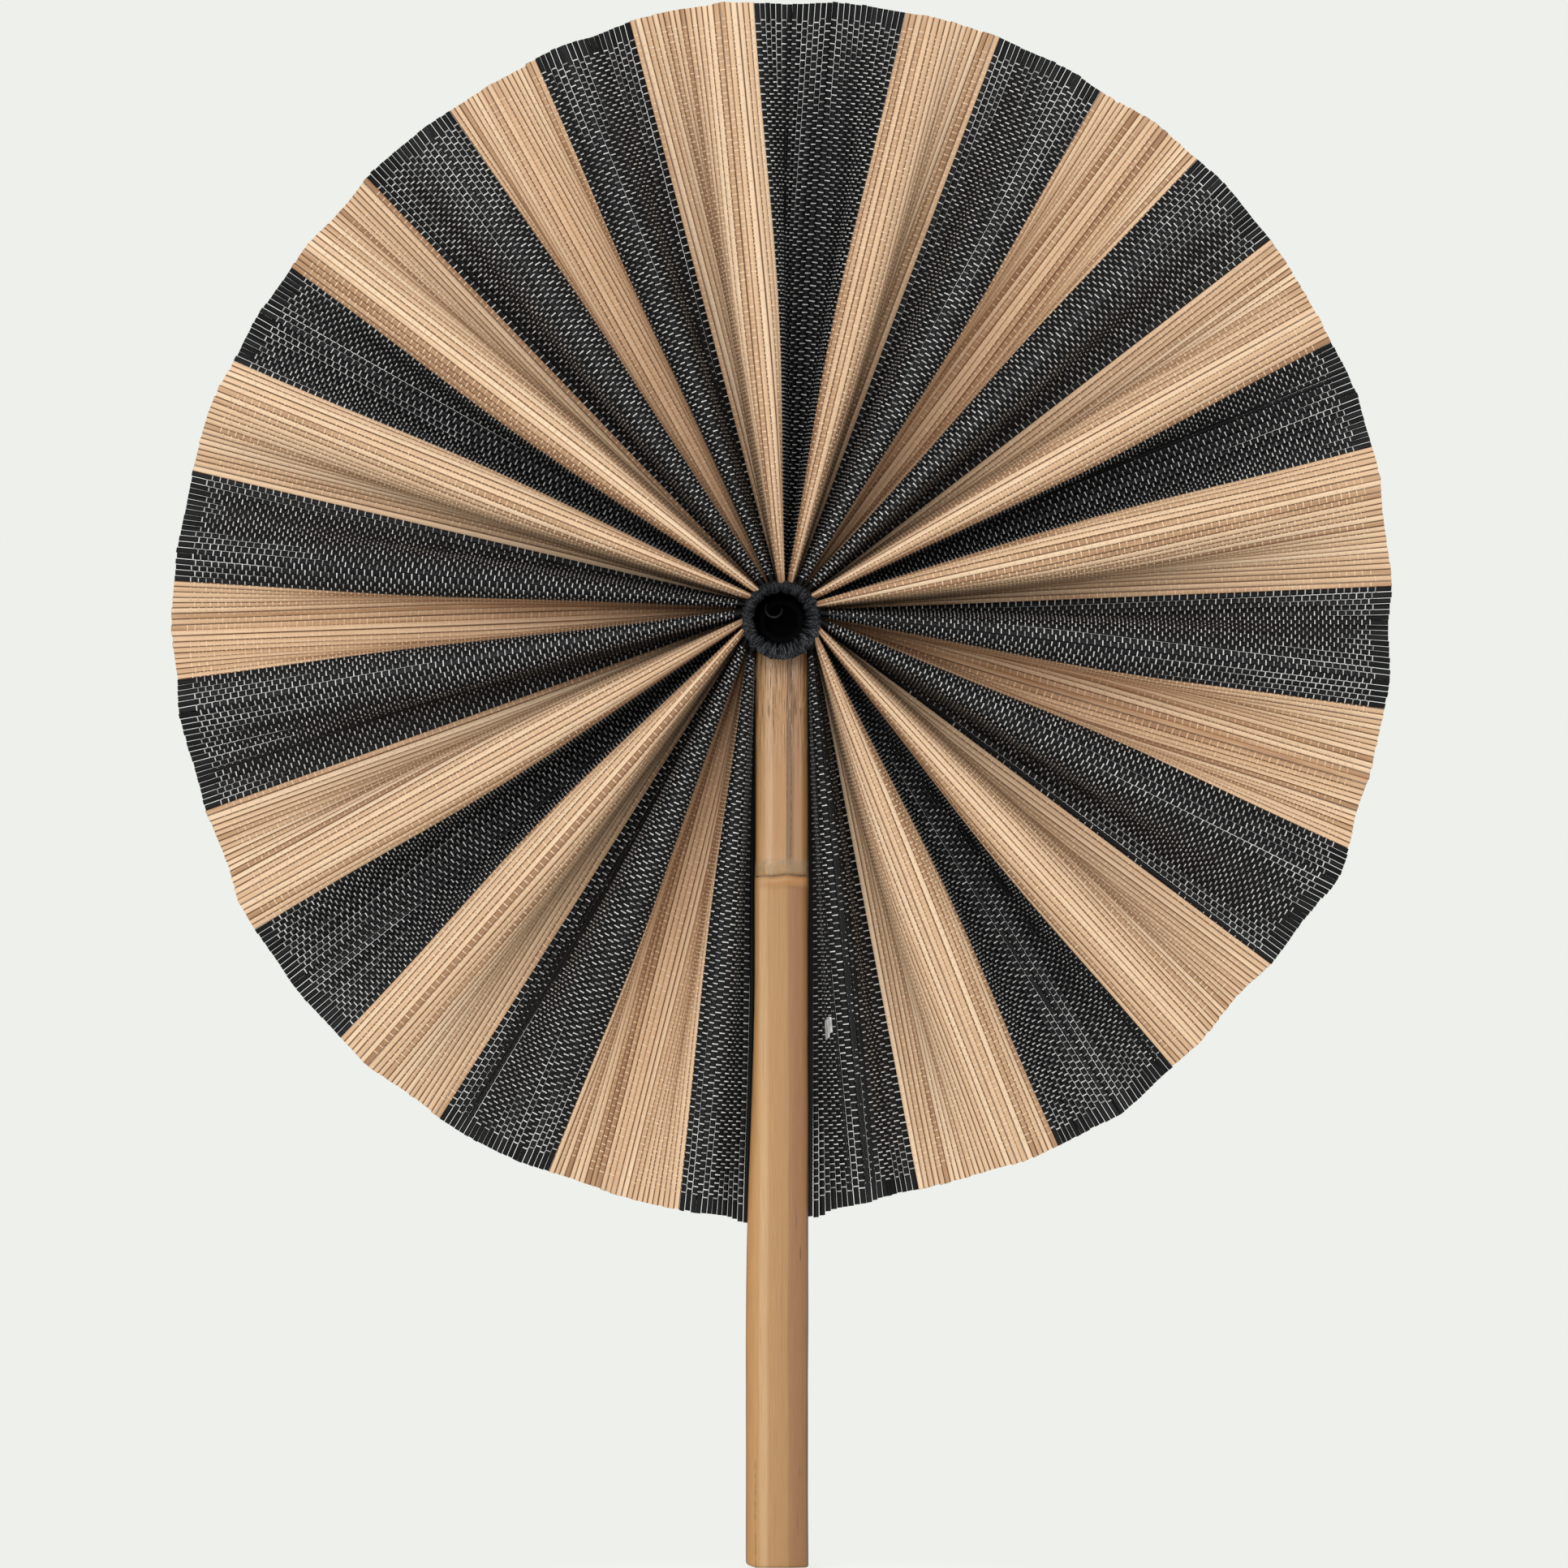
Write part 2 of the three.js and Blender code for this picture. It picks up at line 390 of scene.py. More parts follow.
def tube_faces(count, sections, sides):
    """Faces of closed tubes whose points lie in an array of tubes, sections and sides.

    Between two sections each side is one face, and each end is a strip between opposite points.
    """
    here = np.arange(sides)
    beside = (here + 1) % sides
    start = np.arange(sections - 1)[:, None] * sides
    walls = np.stack([start + here, start + beside, start + beside + sides, start + here + sides], -1)
    step = np.arange(sides // 2 - 1)
    far_end = np.stack([step, step + 1, sides - 2 - step, sides - 1 - step], -1)
    near_end = far_end[:, ::-1]
    far_end = far_end + (sections - 1) * sides
    faces = np.concatenate([walls.reshape(-1, 4), near_end, far_end])
    first = np.arange(count)[:, None, None] * sections * sides
    return (first + faces).reshape(-1, 4)


def tube_chart(low, high, sections, sides):
    """Flat map of closed tubes: each is unrolled into its own band, from low to high.

    Its length runs across the map, its sides lie one above another, and its ends have a patch each.
    """
    along = np.linspace(*chart_length, sections)
    walls = np.empty((sections - 1, sides, 4, 2))
    ends = np.empty((2, sides // 2 - 1, 4, 2))
    walls[..., 0] = np.stack([along[:-1], along[:-1], along[1:], along[1:]], -1)[:, None]
    for end, patch in zip(ends, end_patches):
        end[..., 0] = np.repeat(patch, 2)
    for strips, low_level, high_level in ((walls, 0, 1), (ends, 0.1, 0.9)):
        level = np.linspace(low_level, high_level, strips.shape[1] + 1)
        strips[..., 1] = np.stack([level[:-1], level[1:], level[1:], level[:-1]], -1)
    flat = np.concatenate([walls.reshape(-1, 4, 2), ends.reshape(-1, 4, 2)])
    chart = np.repeat(flat[None], len(low), axis=0)
    chart[..., 1] = low[:, None, None] + (high - low)[:, None, None] * chart[..., 1]
    return chart.reshape(-1, 4, 2)


def tubes(centres, wide, high, outline):
    """Points of tubes that carry an outline along their centres, in arrays of tubes, sections and sides.

    An outline point (a, b) lies at the centre plus a times wide plus b times high.
    """
    across = wide[:, :, None] * outline[:, 0, None]
    return centres[:, :, None] + across + high[:, :, None] * outline[:, 1, None]


def one_tube(points, grain, low, high, tone=0.0):
    """A shape that is a single closed tube, unrolled into the flat map's band from low to high."""
    sections, sides = points.shape[:2]
    flat = points.reshape(-1, 3)
    chart = tube_chart(np.array([low]), np.array([high]), sections, sides)
    return Shape(flat, tube_faces(1, sections, sides), chart, np.full(len(flat), tone), grain.reshape(-1, 3))


def small_tubes(points, tone, band, finish):
    """A shape of many small tubes, each of one tone. Those of like tone share a patch of the flat map."""
    count, sections, sides = points.shape[:3]
    faces = tube_faces(count, sections, sides)
    patch = np.minimum((tone * tone_steps).astype(int), tone_steps - 1)
    chart = np.empty((count, len(faces) // count, 4, 2))
    chart[..., 0] = (patch[:, None, None] + np.array([0.2, 0.8, 0.8, 0.2])) / tone_steps
    chart[..., 1] = np.repeat(band, 2)
    flat = points.reshape(-1, 3)
    tone = np.repeat(tone, sections * sides)
    return Shape(flat, faces, chart.reshape(-1, 4, 2), tone, np.zeros(flat.shape), finish)


def add_object(name, data):
    """An object in the scene that holds a mesh, a lamp or a camera."""
    added = bpy.data.objects.new(name, data)
    bpy.context.scene.collection.objects.link(added)
    return added


def make_piece(name, shapes, finishes, body):
    """One mesh of all the shapes, riding on a body."""
    starts = np.cumsum([0] + [len(shape.points) for shape in shapes[:-1]])
    points = HUB + MM * np.concatenate([shape.points for shape in shapes])
    faces = np.concatenate([shape.faces + start for shape, start in zip(shapes, starts)])
    finish = np.concatenate([np.full(len(shape.faces), shape.finish) for shape in shapes])
    mesh = bpy.data.meshes.new(name)
    mesh.vertices.add(len(points))
    mesh.vertices.foreach_set("co", points.ravel())
    mesh.loops.add(faces.size)
    mesh.loops.foreach_set("vertex_index", faces.ravel().astype(np.int32))
    mesh.polygons.add(len(faces))
    mesh.polygons.foreach_set("loop_start", np.arange(0, faces.size, 4, dtype=np.int32))
    mesh.polygons.foreach_set("material_index", finish.astype(np.int32))
    mesh.polygons.foreach_set("use_smooth", np.ones(len(faces), dtype=bool))
    mesh.update(calc_edges=True)
    mesh.set_sharp_from_angle(angle=sharp_angle)
    tone = mesh.attributes.new("tone", "FLOAT", "POINT")
    tone.data.foreach_set("value", np.concatenate([shape.tone for shape in shapes]))
    grain = mesh.attributes.new("grain", "FLOAT_VECTOR", "POINT")
    grain.data.foreach_set("vector", np.concatenate([shape.grain for shape in shapes]).ravel())
    chart = mesh.uv_layers.new(name="OFBake")
    chart.data.foreach_set("uv", np.concatenate([shape.chart for shape in shapes]).ravel())
    for material in finishes:
        mesh.materials.append(material)
    piece = add_object(name, mesh)
    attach(piece, body)
    return piece


# Finishes


class Nodes:
    """A tree of shader nodes that is added to a call at a time."""

    def __init__(self, tree):
        self.tree = tree

    def put(self, source, socket):
        """Sets a socket to a number or a colour, or links another node's output to it."""
        if isinstance(source, (int, float, tuple)):
            socket.default_value = source
        else:
            self.tree.links.new(source, socket)

    def fill(self, node, sources):
        """Puts a value or another node's output on each of the named sockets."""
        for socket, source in sources.items():
            self.put(source, node.inputs[socket])

    def add(self, kind, sources):
        node = self.tree.nodes.new(f"ShaderNode{kind}")
        self.fill(node, sources)
        return node

    def combine(self, first, second, operation):
        node = self.add("Math", {0: first, 1: second})
        node.operation = operation
        return node.outputs["Value"]

    def show(self, share, first, second, output):
        """Mixes two shaders by a share and puts them on the tree's output."""
        node = self.add("MixShader", {"Fac": share, 1: first, 2: second})
        self.put(node.outputs[0], self.tree.nodes[output].inputs["Surface"])


class Finish(Nodes):
    """A material. Constants go on the shader's own sockets."""

    def __init__(self, name, constants):
        self.material = bpy.data.materials.new(name)
        self.material.use_nodes = True
        super().__init__(self.material.node_tree)
        self.shader = self.tree.nodes["Principled BSDF"]
        self.fill(self.shader, constants)

    def attribute(self, name, output):
        """What the mesh holds at each point under a name."""
        node = self.add("Attribute", {})
        node.attribute_name = name
        return node.outputs[output]

    def place(self, axis):
        """One of the grain attribute's three numbers."""
        node = self.add("SeparateXYZ", {0: self.attribute("grain", "Vector")})
        return node.outputs[axis]

    def noise(self, scale, detail=2.0, roughness=0.5):
        """Noise over the grain attribute's three numbers, each times its scale."""
        stretch = self.add("VectorMath", {0: self.attribute("grain", "Vector"), 1: scale})
        stretch.operation = "MULTIPLY"
        sources = {"Vector": stretch.outputs["Vector"], "Scale": 1, "Detail": detail, "Roughness": roughness}
        return self.add("TexNoise", sources).outputs["Fac"]

    def ramp(self, value, stops):
        """A colour from places and colours in order."""
        node = self.add("ValToRGB", {"Fac": value})
        elements = node.color_ramp.elements
        while len(elements) < len(stops):
            elements.new(1)
        for element, (place, colour) in zip(elements, stops):
            element.position = place
            element.color = (*colour, 1)
        return node.outputs["Color"]

    def times(self, first, second):
        return self.combine(first, second, "MULTIPLY")

    def scale(self, value, low, high, new_low, new_high):
        """A value taken evenly from one range to another, and kept inside it."""
        sources = {"Value": value, "From Min": low, "From Max": high, "To Min": new_low, "To Max": new_high}
        return self.add("MapRange", sources).outputs["Result"]

    def band(self, value, low, high, soft):
        """1 from low to high, and 0 outside, with soft edges."""
        rise = self.scale(value, low - soft, low + soft, 0, 1)
        fall = self.scale(value, high - soft, high + soft, 1, 0)
        return self.times(rise, fall)

    def mix(self, share, first, second, blend="MIX"):
        """The first colour with a share of the second mixed or blended into it."""
        node = self.add("Mix", {})
        node.data_type = "RGBA"
        node.blend_type = blend
        self.fill(node, {"Factor": share, 6: first, 7: second})
        return node.outputs[2]

    def shade(self, base, value, dark):
        """A colour that is darkened where a value is low."""
        shade = self.ramp(value, [(0.3, dark), (0.7, (1.0, 1.0, 1.0))])
        return self.mix(1.0, base, shade, "MULTIPLY")

    def bump(self, height, strength, distance):
        node = self.add("Bump", {"Height": height, "Strength": strength, "Distance": distance})
        self.put(node.outputs["Normal"], self.shader.inputs["Normal"])

    def colour(self, colour):
        self.put(colour, self.shader.inputs["Base Color"])

    def roughness(self, value):
        self.put(value, self.shader.inputs["Roughness"])


# The sticks' tones from dark to light
natural_tones = [
    (0.0, (0.34, 0.18, 0.09)),
    (0.14, (0.46, 0.27, 0.145)),
    (0.3, (0.60, 0.385, 0.225)),
    (0.6, (0.69, 0.465, 0.285)),
    (1.0, (0.78, 0.57, 0.375)),
]
black_tones = [
    (0.0, (0.0028, 0.0029, 0.0031)),
    (0.5, (0.0062, 0.0063, 0.0066)),
    (1.0, (0.0135, 0.0136, 0.014)),
]


def stick_finish(name, tones, gap_shade_colour, fibre_dark, specular):
    """Split bamboo: a tone per stick, soft mottling, fine fibres and painted shade of the gaps at its edges.

    The grain attribute holds the place along and across the sticks, and 1 at a stick's edges.
    """
    finish = Finish(name, {"Specular IOR Level": specular})
    mottle = finish.noise((0.03, 0.4, 0))
    fibre = finish.noise((0.12, 7.0, 0), 3, 0.6)
    spread = finish.scale(mottle, 0.3, 0.7, -0.14, 0.14)
    base = finish.ramp(finish.combine(finish.attribute("tone", "Fac"), spread, "ADD"), tones)
    base = finish.shade(base, fibre, (fibre_dark,) * 3)
    # Painted shade: the colour at each stick's edges is the shade of the gap beside it
    finish.colour(finish.mix(finish.scale(finish.place("Z"), 0.1, 0.9, 0, 1), base, (*gap_shade_colour, 1)))
    finish.roughness(finish.scale(fibre, 0.3, 0.7, 0.62, 0.46))
    finish.bump(fibre, 0.35, 0.00012)
    return finish.material


def strand_finish(name, dark, light, roughness, specular):
    """Thread, cord or loose fibres: a tone for each strand."""
    finish = Finish(name, {"Roughness": roughness, "Specular IOR Level": specular})
    finish.colour(finish.ramp(finish.attribute("tone", "Fac"), [(0, dark), (1, light)]))
    return finish.material


# The culm's tones from its left edge to its right, above its node and below it. Over its own colour they hold
# painted light: dark edge lines as shadow beside the mat, a pale highlight band about a quarter across,
# and painted shade over its right side.
upper_tones_and_painted_light = [
    (0.0, (0.045, 0.022, 0.01)),
    (0.02, (0.10, 0.045, 0.018)),
    (0.04, (0.37, 0.195, 0.075)),
    (0.08, (0.40, 0.22, 0.085)),
    (0.11, (0.42, 0.225, 0.082)),
    (0.17, (0.42, 0.245, 0.11)),
    (0.21, (0.48, 0.30, 0.162)),
    (0.31, (0.48, 0.30, 0.165)),
    (0.35, (0.39, 0.215, 0.092)),
    (0.58, (0.38, 0.205, 0.086)),
    (0.595, (0.20, 0.11, 0.052)),
    (0.72, (0.24, 0.135, 0.064)),
    (0.75, (0.36, 0.20, 0.105)),
    (0.86, (0.34, 0.185, 0.09)),
    (0.91, (0.27, 0.14, 0.052)),
    (0.97, (0.22, 0.11, 0.04)),
    (1.0, (0.05, 0.024, 0.01)),
]
lower_tones_and_painted_light = [
    (0.0, (0.12, 0.055, 0.02)),
    (0.02, (0.34, 0.165, 0.05)),
    (0.05, (0.43, 0.215, 0.066)),
    (0.20, (0.44, 0.25, 0.10)),
    (0.24, (0.50, 0.31, 0.15)),
    (0.32, (0.49, 0.30, 0.145)),
    (0.37, (0.40, 0.222, 0.09)),
    (0.66, (0.36, 0.197, 0.078)),
    (0.69, (0.28, 0.15, 0.05)),
    (0.74, (0.28, 0.14, 0.062)),
    (0.97, (0.25, 0.12, 0.048)),
    (1.0, (0.07, 0.033, 0.013)),
]
# Marks on the culm: their places across, from the left, and their drops below the hub
culm_marks = [
    (0.145, 0.156, 268, 306),
    (0.345, 0.362, 22, 36),
    (0.385, 0.40, 14, 22),
    (0.12, 0.13, 12, 27),
    (0.592, 0.606, 10, 60),
    (0.665, 0.685, 10, 77),
    (0.80, 0.808, 12, 40),
    (0.825, 0.835, 283, 291),
    (0.865, 0.880, 269, 273),
    (0.80, 0.815, 188, 193),
    (0.87, 0.89, 199, 204),
]
long_streak_colour = (0.19, 0.10, 0.046, 1)
short_streak_colour = (0.15, 0.072, 0.032, 1)
pale_streak_colour = (0.52, 0.365, 0.25, 1)
mark_colour = (0.09, 0.045, 0.02, 1)
bloom_colour = (0.21, 0.165, 0.095, 1)
ridge_colour = (0.40, 0.19, 0.066, 1)
groove_colour = (0.07, 0.04, 0.022, 1)
speck_colour = (0.17, 0.085, 0.035, 1)


def bamboo_finish():
    """A split culm: bands of tone from its left edge to its right, with a painted highlight band, painted
    shade on its right side and painted shadow lines at its edges, then dark and pale streaks, most of them
    near the hub, and a few marks. Its node has a mottled bloom above a dark groove and an orange ridge.

    The grain attribute holds the place across from -1 to 1, the drop below the hub and the slat's number.
    """
    finish = Finish("split_bamboo", {"Specular IOR Level": 0.35, "Coat Weight": 0.08, "Coat Roughness": 0.3})
    drop = finish.place("Y")
    wander = finish.scale(finish.noise((1.5, 0.012, 3.1)), 0, 1, -0.04, 0.04)
    across = finish.combine(finish.scale(finish.place("X"), -1, 1, 0, 1), wander, "ADD")
    upper = finish.scale(drop, node_drop, node_drop - 5, 0, 1)
    # Painted light is in these tones: a highlight band, shade on the right side and shadow lines at the edges
    base = finish.mix(upper, finish.ramp(across, lower_tones_and_painted_light), finish.ramp(across, upper_tones_and_painted_light))

    streak = finish.noise((15.0, 0.016, 5.3), 3, 0.6)
    short_streak = finish.noise((22.0, 0.09, 4.1), 3, 0.65)
    fibre = finish.noise((46.0, 0.09, 1.7), 3, 0.6)
    near_hub = finish.scale(drop, 52, 24, 0, 1)
    long_dark = finish.times(finish.scale(streak, 0.44, 0.34, 0, 1), finish.scale(drop, 70, 30, 0.22, 0.5))
    short_dark = finish.times(finish.scale(short_streak, 0.45, 0.40, 0, 1), near_hub)
    short_pale = finish.times(finish.scale(short_streak, 0.57, 0.62, 0, 0.8), near_hub)
    base = finish.mix(long_dark, base, long_streak_colour)
    base = finish.mix(short_dark, base, short_streak_colour)
    base = finish.mix(short_pale, base, pale_streak_colour)
    base = finish.shade(base, fibre, (0.84, 0.81, 0.78))

    dashes = finish.scale(finish.noise((9.0, 0.35, 2.9)), 0.40, 0.56, 0.25, 0.9)
    for left, right, top, bottom in culm_marks:
        mark = finish.times(finish.band(across, left, right, 0.008), finish.band(drop, top, bottom, 1.5))
        base = finish.mix(finish.times(mark, dashes), base, mark_colour)

    mottle = finish.noise((6.0, 0.5, 2.3), 4, 0.65)
    bloom = finish.band(drop, node_drop - 5, node_drop, 0.8)
    ridge = finish.band(drop, node_drop + 0.6, node_drop + 3.4, 0.5)
    groove = finish.band(drop, node_drop - 0.28, node_drop + 0.28, 0.16)
    base = finish.mix(finish.times(bloom, finish.scale(mottle, 0.38, 0.62, 0.1, 0.75)), base, bloom_colour)
    base = finish.mix(finish.times(ridge, finish.scale(across, 0, 1, 0.2, 0.7)), base, ridge_colour)
    base = finish.mix(finish.times(groove, finish.scale(mottle, 0.3, 0.6, 0.95, 0.55)), base, groove_colour)
    speck = finish.noise((7.0, 0.16, 2.3), 4, 0.65)
    finish.colour(finish.mix(finish.scale(speck, 0.68, 0.76, 0, 0.6), base, speck_colour))
    finish.roughness(finish.scale(streak, 0.3, 0.7, 0.55, 0.4))
    finish.bump(fibre, 0.3, 0.0002)
    return finish.material


def felt_finish():
    """Brushed cloth tape: navy black, lighter where its fibres catch the light, and darkened by painted shade
    inside the ring.

    The grain attribute holds the places along the ring and from front to back, and the radius.
    """
    finish = Finish("black_felt_tape", {"Roughness": 0.95, "Specular IOR Level": 0.1})
    brush = finish.noise((2.6, 0.2, 0.2), 3, 0.7)
    colour = finish.ramp(brush, [(0.42, (0.0024, 0.0028, 0.0034)), (0.66, (0.042, 0.0445, 0.050))])
    # Painted shade: the colour is multiplied darker from the crest down the funnel to the bore, where the
    # radius is small
    depth = finish.ramp(finish.scale(finish.place("Z"), 8.4, 11.2, 0, 1), [
        (0.0, (0.05, 0.05, 0.05)),
        (0.5, (0.3, 0.3, 0.3)),
        (1.0, (1.0, 1.0, 1.0)),
    ])
    finish.colour(finish.mix(1.0, colour, depth, "MULTIPLY"))
    finish.bump(brush, 0.8, 0.0005)
    return finish.material


# Mat


def around(angle, radius):
    """A point (x, z) at an angle about the hub, counted from straight down and over the left side: the
    angle's sine and cosine, both turned negative, times the radius."""
    return np.stack([-np.sin(angle) * radius, -np.cos(angle) * radius], -1)


def rim_distance(angle):
    """The rim's distance from the hub: where a line from the hub meets a circle whose centre is above it."""
    return -rim_rise * np.cos(angle) + np.sqrt(rim_radius**2 - (rim_rise * np.sin(angle)) ** 2)


def sticks_before(place):
    """Sticks before a place along the mat, where the place is counted in stripes."""
    stripe = min(int(place), len(stripe_sticks) - 1)
    span = last_stripe_span if stripe == len(stripe_sticks) - 1 else 1
    return math.floor(stripe_sticks[:stripe].sum() + stripe_sticks[stripe] * (place - stripe) / span + 0.5)


def hub_angle(number):
    """A fold's angle at the hub, where folds are evenly spaced between the slat's two sides."""
    start = math.asin((slat_top_width + fit_gap) / 2 / mat_inner_radius)
    return lerp(start, 2 * math.pi - start, number / panel_count)


def fold_line(number):
    """A fold's two ends, seen from the front. At the rim the folds are spread by their sticks, and the
    mat's two ends follow the slat, which flares to the left."""
    share = sticks_before(number * stripes_per_panel) / stick_total
    start = math.asin((slat_width + fit_gap) / 2 / rim_drop)
    rim_angle = lerp(start, 2 * math.pi - start, share)
    if number in (0, panel_count):
        rim_angle += slat_flare / rim_drop
    return around(hub_angle(number), mat_inner_radius), around(rim_angle, rim_distance(rim_angle))


def cell_ends(panel, share):
    """The two ends of a panel's section, seen from the front, at shares of the way from hub to rim."""
    near = fold_line(panel - 1)
    far = fold_line(panel)
    share = np.asarray(share)[..., None]
    return lerp(near[0], near[1], share), lerp(far[0], far[1], share)


def cell_width(panel, share):
    """The distance between the two ends of a panel's section, seen from the front."""
    near, far = cell_ends(panel, share)
    return np.linalg.norm(far - near, axis=-1)


def panel_rise(panel, share):
    """How far a panel rises from its back fold to its front one. Its width stays the same, so it stands
    on edge at the hub and lies nearly flat at the rim: its width is the long side of a right-angled
    triangle whose other sides are the cell's width and the rise."""
    return np.sqrt((mat_fullness * cell_width(panel, 1)) ** 2 - cell_width(panel, share) ** 2)


def fold_depth(number, share):
    """A fold's place from front to back: half the mean rise of the panels that meet there."""
    before = panel_rise(max(number, 1), share)
    after = panel_rise(min(number + 1, panel_count), share)
    return (-1 if number % 2 else 1) * (before + after) / 4


def mat_section(spot, near_reach, far_reach, half_rise, softness, pinch, sway):
    """Places sideways and from back to front along a panel's section.

    The section rises from fold to fold as half a cosine wave. With no pinch it goes evenly sideways.
    With pinch, its ends spread into a roof over each fold and its middle is a steep wall, which is
    splayed most where the pinch is about two thirds. Sway moves the wall sideways.
    """
    turn = 2 * spot - 1
    power = 1 + roof_power * pinch
    splay = wall_splay * pinch**2 * (splay_end - pinch)
    roof = np.sign(turn) * np.abs(turn) ** power
    reach = (near_reach + far_reach) / 2
    sideways = (far_reach - near_reach) / 2
    sideways = sideways + reach * ((1 - splay) * roof + splay * turn + sway * (1 - turn**2))
    return sideways, half_rise * ((1 - softness) * turn - softness * np.cos(np.pi * spot))


def slat_cover(share):
    """How far the mat's first panel reaches behind the slat, whose left edge is straight at first."""
    drop = lerp(mat_inner_radius, rim_drop, share)
    return slat_overlap + 2 * (slat_flare * share + slat_top_width / 2 - slat_half_width(drop))


def mat_points(panel, share, part):
    """Points on a panel at shares from hub to rim and at parts of its own section, from 0 to 1.

    A part is counted along the section's length, which a fine grid of chords gives.
    """
    near, far = cell_ends(panel, share)
    across = far - near
    half_cell = np.linalg.norm(across, axis=-1) / 2
    across = across / (2 * half_cell[..., None])
    middle = (near + far) / 2
    before = fold_depth(panel - 1, share)
    after = fold_depth(panel, share)
    half_rise = (after - before) / 2
    softness = lerp(hub_softness, 1, np.clip(share, 0, 1) ** 2)
    pinch = (1 - np.clip(share, 0, 1)) ** pinch_power
    run = half_cell * (1 + roof_power * pinch)
    sway = fold_sway * math.sin(sway_turn * panel) * 4 * pinch * (1 - pinch)
    rise = np.abs(half_rise) * (1 - softness)
    inset = fold_inset * stick_half_depth * (rise / np.hypot(run, rise)) ** 4 - fold_overlap
    near_reach = half_cell - inset + (slat_cover(share) if panel == 1 else 0)
    far_reach = half_cell - inset + (slat_overlap if panel == panel_count else 0)

    grid = np.linspace(0, 1, section_steps + 1)
    forms = (near_reach, far_reach, half_rise, softness, pinch, sway)
    fine = mat_section(grid, *[form[..., None] for form in forms])
    chords = np.hypot(np.diff(fine[0]), np.diff(fine[1]))
    walked = np.concatenate([np.zeros((*share.shape, 1)), np.cumsum(chords, axis=-1)], -1)
    target = part * walked[..., -1]
    index = np.clip((walked < target[..., None]).sum(axis=-1), 1, section_steps)[..., None]
    low = np.take_along_axis(walked, index - 1, -1)[..., 0]
    high = np.take_along_axis(walked, index, -1)[..., 0]
    spot = (index[..., 0] - 1 + (target - low) / (high - low)) / section_steps
    sideways, depth = mat_section(spot, *forms)
    flat = middle + across * sideways[..., None]
    return np.stack([flat[..., 0], (before + after) / 2 + depth, flat[..., 1]], -1)


def stick_frames(panel, share, edges):
    """Frames of a panel's sticks at shares from hub to rim: each stick lies on the chord between its edges.

    Returns the middles, the directions across the sticks and towards the front, and half the chords.
    """
    low = mat_points(panel, share, edges[:-1, None])
    high = mat_points(panel, share, edges[1:, None])
    middle = (low + high) / 2
    over = unit(high - low)
    front = unit(np.cross(over, np.gradient(middle, axis=1)))
    return middle, over, front, np.linalg.norm(high - low, axis=-1) / 2


def stick_tones(count):
    """A tone for each stick: most are near the middle, and a few are dark."""
    tone = np.clip(random.normal(tone_middle, tone_spread, count), tone_least, 1)
    dark = random.random(count) < dark_share
    return np.where(dark, random.uniform(0.0, dark_tone, count), tone)


def painted_wall_share(front):
    """1 where a stick stands on edge, in the walls of a fold, and 0 where it lies flat: how much painted
    shade darkens it.
    """
    return smooth_step(*wall_tilts, 1 - np.abs(front[..., 1]))


def stick_shapes(panel, sticks, is_black):
    """The sticks of one panel: flattened tubes side by side along the panel's section, from hub to rim.

    Each is the stick's outline carried along the panel's surface. Its rim end is moved by the sum of the
    bells and waves at its angle, and a black one narrows over its last stretch.
    """
    count = len(sticks)
    edges = np.arange(count + 1) + random.uniform(-edge_jitter, edge_jitter, count + 1)
    edges[0] = 0
    edges[-1] = count
    edges = edges / count
    ends, _, _, _ = stick_frames(panel, np.tile([0.0, 1.0], (count, 1)), edges)
    length = np.linalg.norm(ends[:, 1] - ends[:, 0], axis=-1)
    angle = np.arctan2(-ends[:, 1, 0], -ends[:, 1, 2]) % (2 * np.pi)
    rim_offset = bells(np.degrees(angle), rim_bulges) + waves(angle, rim_waves)
    start = random.uniform(*hub_end_range, count) / length
    end = 1 + (rim_offset + random.normal(0, rim_jitter, count)) / length
    share = lerp(start[:, None], end[:, None], stick_places)
    points, over, front, half_chord = stick_frames(panel, share, edges)
    opening = random.choice(stick_openings, count)[:, None]
    opened = smooth_step(0, opening_run, opening - (end[:, None] - share) * length[:, None])
    half_width = half_chord * lerp(stick_fill, rim_fill, opened * is_black[:, None])
    roll = random.normal(0, roll_jitter, count)[:, None, None]
    wide = over + front * roll
    high = over * roll - front
    points = points + front * random.normal(0, level_jitter, count)[:, None, None]
    rings = tubes(points, wide * half_width[..., None], high * stick_half_depth, stick_outline)

    sections, sides = rings.shape[1:3]
    # Painted shade: a stick's tone is lowered where it stands on a fold's wall
    tone = stick_tones(count)[:, None] - painted_wall_shade * painted_wall_share(front)
    tone = np.repeat(np.clip(tone, 0, 1)[:, :, None], sides, axis=2)
    band = stick_band * np.arange(count)
    band_low = (band + stick_band_gap) / count
    band_high = (band + stick_band - stick_band_gap) / count
    chart = tube_chart(band_low, band_high, sections, sides).reshape(count, -1, 4, 2)
    grain = np.empty(rings.shape)
    grain[..., 0] = (share * length[:, None])[:, :, None]
    grain[..., 1] = grain_step * sticks[:, None, None] + half_width[..., None] * stick_outline[:, 0]
    # 1 at a stick's edges, where the finish paints the shade of the gaps
    grain[..., 2] = np.abs(stick_outline[:, 0]) == 1
    shapes = []
    for black, finish in enumerate(stick_finishes):
        chosen = is_black == bool(black)
        if not chosen.any():
            continue
        shapes.append(Shape(
            rings[chosen].reshape(-1, 3),
            tube_faces(chosen.sum(), sections, sides),
            chart[chosen].reshape(-1, 4, 2),
            tone[chosen].ravel(),
            grain[chosen].reshape(-1, 3),
            finish,
        ))
    return shapes, edges, length, end


